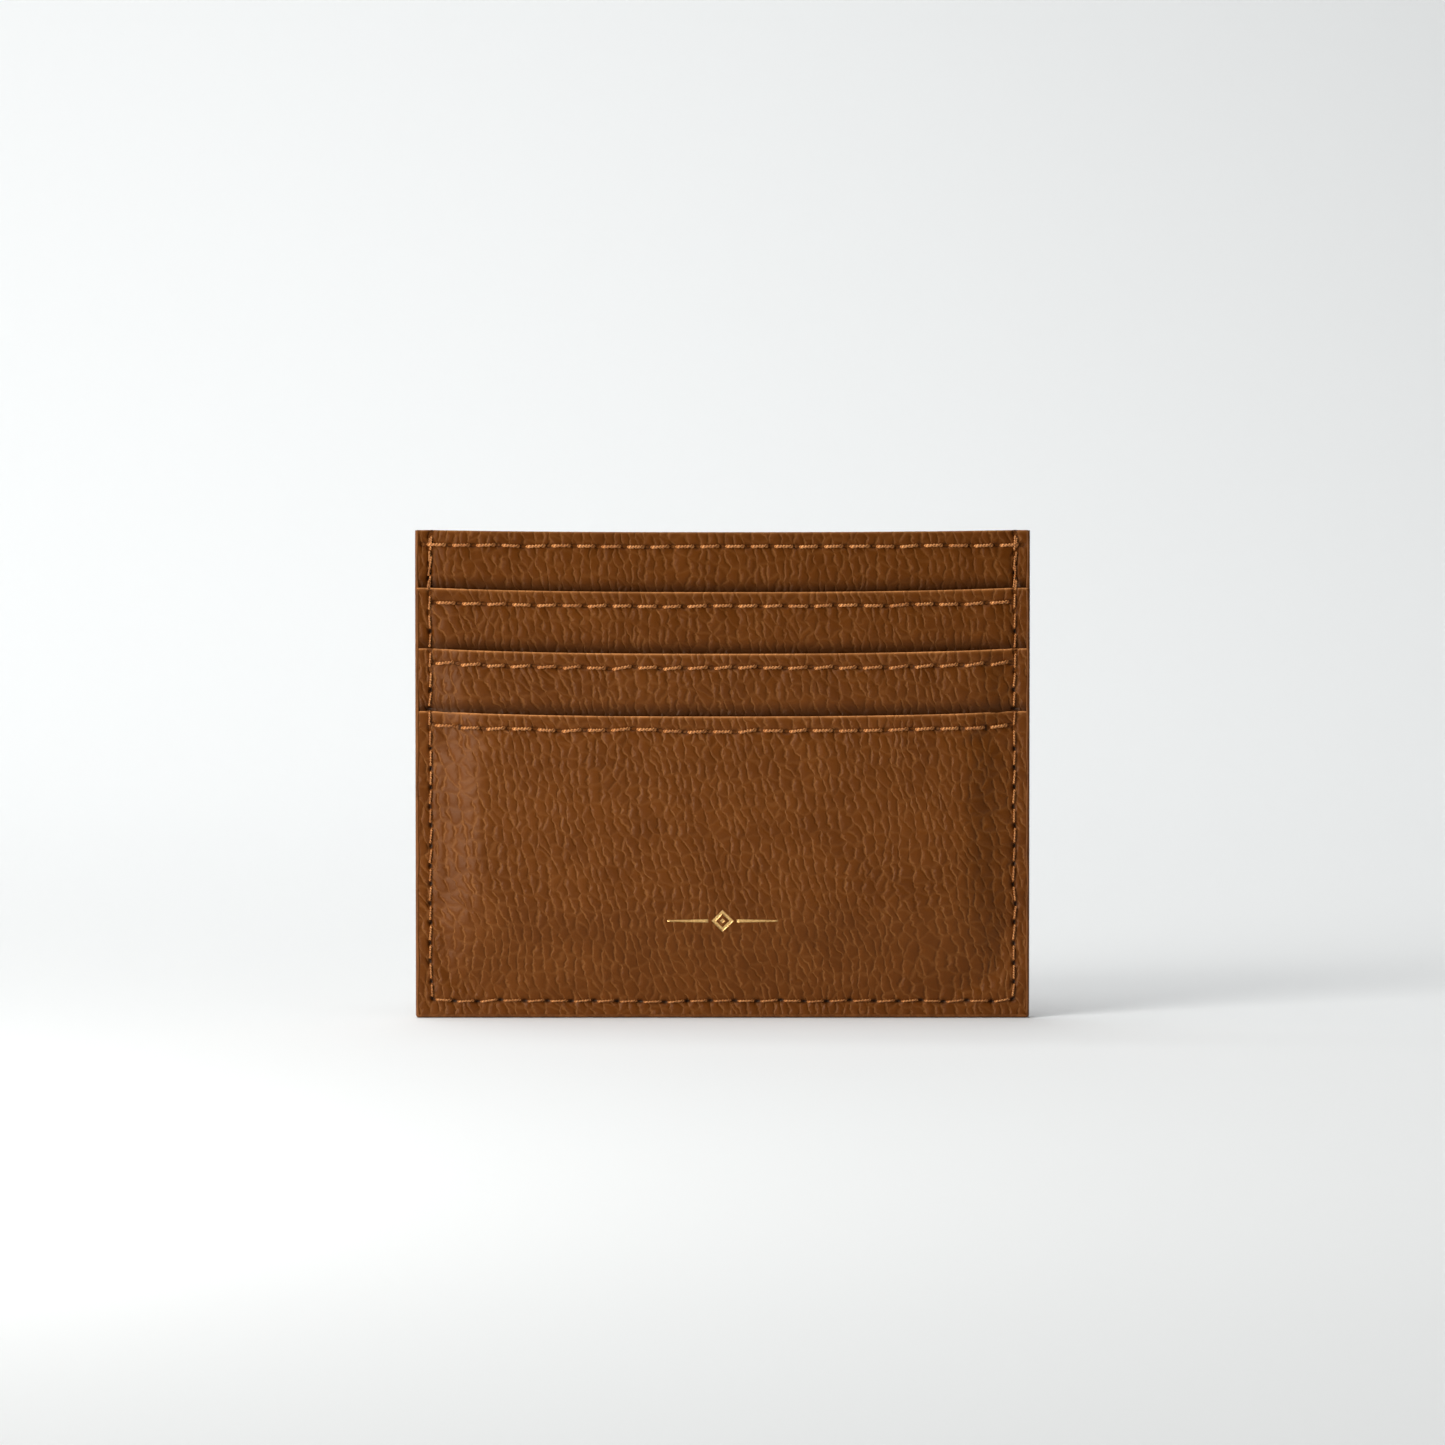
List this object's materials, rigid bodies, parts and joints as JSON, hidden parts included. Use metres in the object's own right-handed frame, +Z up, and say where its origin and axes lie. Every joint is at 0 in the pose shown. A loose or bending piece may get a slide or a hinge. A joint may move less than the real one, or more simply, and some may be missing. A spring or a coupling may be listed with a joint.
{
  "type": "card holder",
  "caption": "Flat leather card holder with stepped card slots on both faces, a centre pocket open at the top, stitched and edge-coated seams.",
  "frame": {"origin": "middle of the bottom edge that the holder stands on", "axes": "+Z up from the bottom edge to the top mouth, +X along the mouths to the right as the front is seen, front face looks along -Y"},
  "size_m": [0.1, 0.0084, 0.0795],
  "materials": {
    "leather": "pebbled grain, satin",
    "lining_fabric": "fine plain weave, matte",
    "thread": "twisted, slight sheen",
    "edge_paint": "satin paint film",
    "gold_foil": "hot-stamped foil, satin"
  },
  "bodies": {
    "root": {"front_panel": "leather", "front_upper_slot": "leather", "front_middle_slot": "leather", "front_pocket": "leather", "front_lining": "lining_fabric", "front_upper_drop": "lining_fabric", "front_middle_drop": "lining_fabric", "front_panel_stitches": "thread", "front_upper_stitches": "thread", "front_middle_stitches": "thread", "front_pocket_stitches": "thread", "front_seam_stitches": "thread", "front_foot_stitches": "thread", "back_panel": "leather", "back_upper_slot": "leather", "back_middle_slot": "leather", "back_pocket": "leather", "back_lining": "lining_fabric", "back_upper_drop": "lining_fabric", "back_middle_drop": "lining_fabric", "back_panel_stitches": "thread", "back_upper_stitches": "thread", "back_middle_stitches": "thread", "back_pocket_stitches": "thread", "back_seam_stitches": "thread", "back_foot_stitches": "thread", "edge_coat": "edge_paint", "foil_mark": "gold_foil"}
  },
  "joints": []
}
